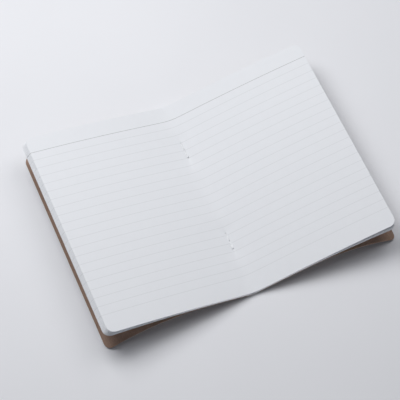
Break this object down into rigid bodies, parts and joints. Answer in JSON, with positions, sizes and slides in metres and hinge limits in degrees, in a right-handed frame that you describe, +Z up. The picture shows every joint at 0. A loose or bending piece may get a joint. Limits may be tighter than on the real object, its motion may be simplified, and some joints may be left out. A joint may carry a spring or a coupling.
{
  "type": "open notebook",
  "caption": "Soft-cover stapled notebook lying open at its centre spread, with ruled pages and kraft card covers that hinge at the spine.",
  "frame": {"origin": "on the surface under the middle of the spine, which is the bottom centre of the bounding box", "axes": "+X across the spread towards the back cover, +Y along the spine towards the head of the page, +Z up out of the gutter"},
  "size_m": [0.2037, 0.1524, 0.0238],
  "materials": {
    "ruled_paper": "matt uncoated white writing paper with fine grey rules",
    "kraft_card": "matt unbleached kraft card",
    "staple_wire": "drawn galvanised wire"
  },
  "bodies": {
    "book": {"page_block": "ruled_paper", "cover_spine": "kraft_card", "upper_staple": "staple_wire", "lower_staple": "staple_wire"},
    "front": {"front_cover": "kraft_card"},
    "back": {"back_cover": "kraft_card"}
  },
  "joints": [
    {"name": "front_cover_fold", "type": "hinge", "parent": "book", "child": "front", "pos_m": [-0.00426, 0, 0.00075], "axis": [0, -1, 0], "range_deg": [0, 90]},
    {"name": "back_cover_fold", "type": "hinge", "parent": "book", "child": "back", "pos_m": [0.00426, 0, 0.00075], "axis": [0, 1, 0], "range_deg": [0, 90]}
  ]
}
